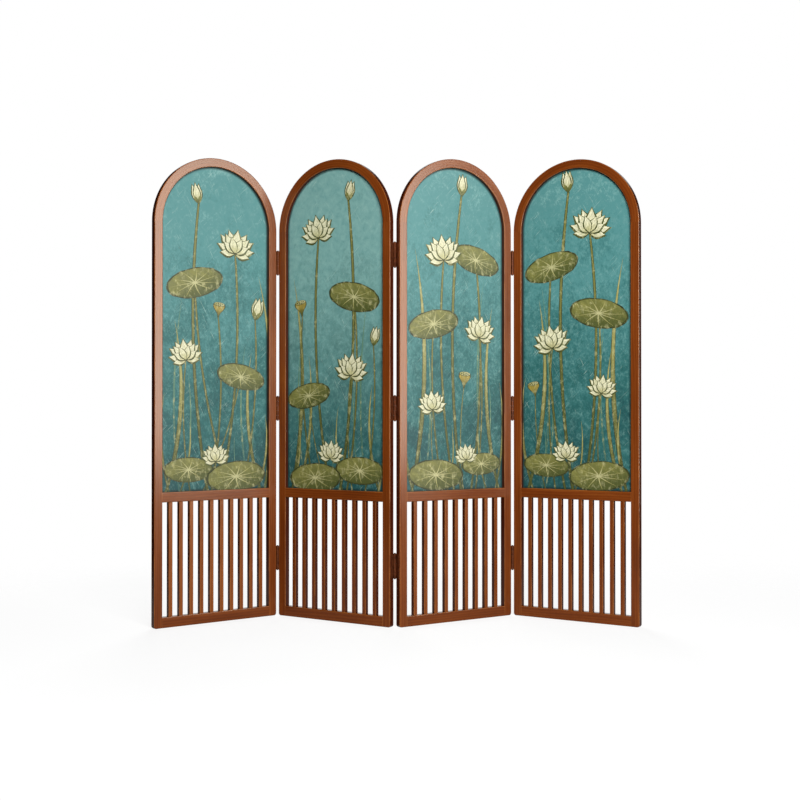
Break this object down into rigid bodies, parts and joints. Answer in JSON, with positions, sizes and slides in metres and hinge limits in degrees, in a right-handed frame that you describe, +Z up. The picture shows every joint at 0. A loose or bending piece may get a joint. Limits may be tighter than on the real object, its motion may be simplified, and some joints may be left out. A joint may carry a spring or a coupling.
{
  "type": "folding screen",
  "caption": "Free-standing wooden folding screen of arched leaves hinged edge to edge in a zigzag, each with a picture panel above a grille of upright slats.",
  "frame": {"origin": "on the floor, under the middle of the box that the standing screen fills", "axes": "+X along the screen to the right as seen from the front, +Y from front to back, +Z up"},
  "size_m": [1.7504, 0.3208, 1.7],
  "materials": {
    "frame_wood": "satin red-brown stain and lacquer",
    "picture_cloth": "matt printed canvas",
    "backing_board": "thin board, back painted plain teal",
    "dowel_wood": "bare beech",
    "brad_steel": "bright steel",
    "hinge_bronze": "dark antique bronze",
    "screw_bronze": "dark antique bronze"
  },
  "bodies": {
    "leaf_1": {"leaf_1_left_stile": "frame_wood", "leaf_1_right_stile": "frame_wood", "leaf_1_arched_head": "frame_wood", "leaf_1_middle_rail": "frame_wood", "leaf_1_bottom_rail": "frame_wood", "leaf_1_slats": "frame_wood", "leaf_1_picture_sheet": "picture_cloth", "leaf_1_backing_board": "backing_board", "leaf_1_retaining_beads": "frame_wood", "leaf_1_dowels": "dowel_wood", "leaf_1_brads": "brad_steel", "hinges_1_2_left_plates": "hinge_bronze", "hinges_1_2_left_screws": "screw_bronze"},
    "leaf_2": {"leaf_2_left_stile": "frame_wood", "leaf_2_right_stile": "frame_wood", "leaf_2_arched_head": "frame_wood", "leaf_2_middle_rail": "frame_wood", "leaf_2_bottom_rail": "frame_wood", "leaf_2_slats": "frame_wood", "leaf_2_picture_sheet": "picture_cloth", "leaf_2_backing_board": "backing_board", "leaf_2_retaining_beads": "frame_wood", "leaf_2_dowels": "dowel_wood", "leaf_2_brads": "brad_steel", "hinges_1_2_right_plates": "hinge_bronze", "hinges_1_2_pins": "hinge_bronze", "hinges_1_2_right_screws": "screw_bronze", "hinges_2_3_left_plates": "hinge_bronze", "hinges_2_3_pins": "hinge_bronze", "hinges_2_3_left_screws": "screw_bronze"},
    "leaf_3": {"leaf_3_left_stile": "frame_wood", "leaf_3_right_stile": "frame_wood", "leaf_3_arched_head": "frame_wood", "leaf_3_middle_rail": "frame_wood", "leaf_3_bottom_rail": "frame_wood", "leaf_3_slats": "frame_wood", "leaf_3_picture_sheet": "picture_cloth", "leaf_3_backing_board": "backing_board", "leaf_3_retaining_beads": "frame_wood", "leaf_3_dowels": "dowel_wood", "leaf_3_brads": "brad_steel", "hinges_2_3_right_plates": "hinge_bronze", "hinges_2_3_right_screws": "screw_bronze", "hinges_3_4_left_plates": "hinge_bronze", "hinges_3_4_pins": "hinge_bronze", "hinges_3_4_left_screws": "screw_bronze"},
    "leaf_4": {"leaf_4_left_stile": "frame_wood", "leaf_4_right_stile": "frame_wood", "leaf_4_arched_head": "frame_wood", "leaf_4_middle_rail": "frame_wood", "leaf_4_bottom_rail": "frame_wood", "leaf_4_slats": "frame_wood", "leaf_4_picture_sheet": "picture_cloth", "leaf_4_backing_board": "backing_board", "leaf_4_retaining_beads": "frame_wood", "leaf_4_dowels": "dowel_wood", "leaf_4_brads": "brad_steel", "hinges_3_4_right_plates": "hinge_bronze", "hinges_3_4_right_screws": "screw_bronze"}
  },
  "joints": [
    {"name": "fold_1_2", "type": "hinge", "parent": "leaf_2", "child": "leaf_1", "pos_m": [-0.45521, 0.13842, 0], "axis": [0, 0, 1], "range_deg": [-68.5, 111.5]},
    {"name": "fold_2_3", "type": "hinge", "parent": "leaf_2", "child": "leaf_3", "pos_m": [-0.00926, -0.10957, 0], "axis": [0, 0, 1], "range_deg": [-64.5, 115.5]},
    {"name": "fold_3_4", "type": "hinge", "parent": "leaf_3", "child": "leaf_4", "pos_m": [0.4345, 0.14231, 0], "axis": [0, 0, -1], "range_deg": [-64.5, 115.5]}
  ]
}
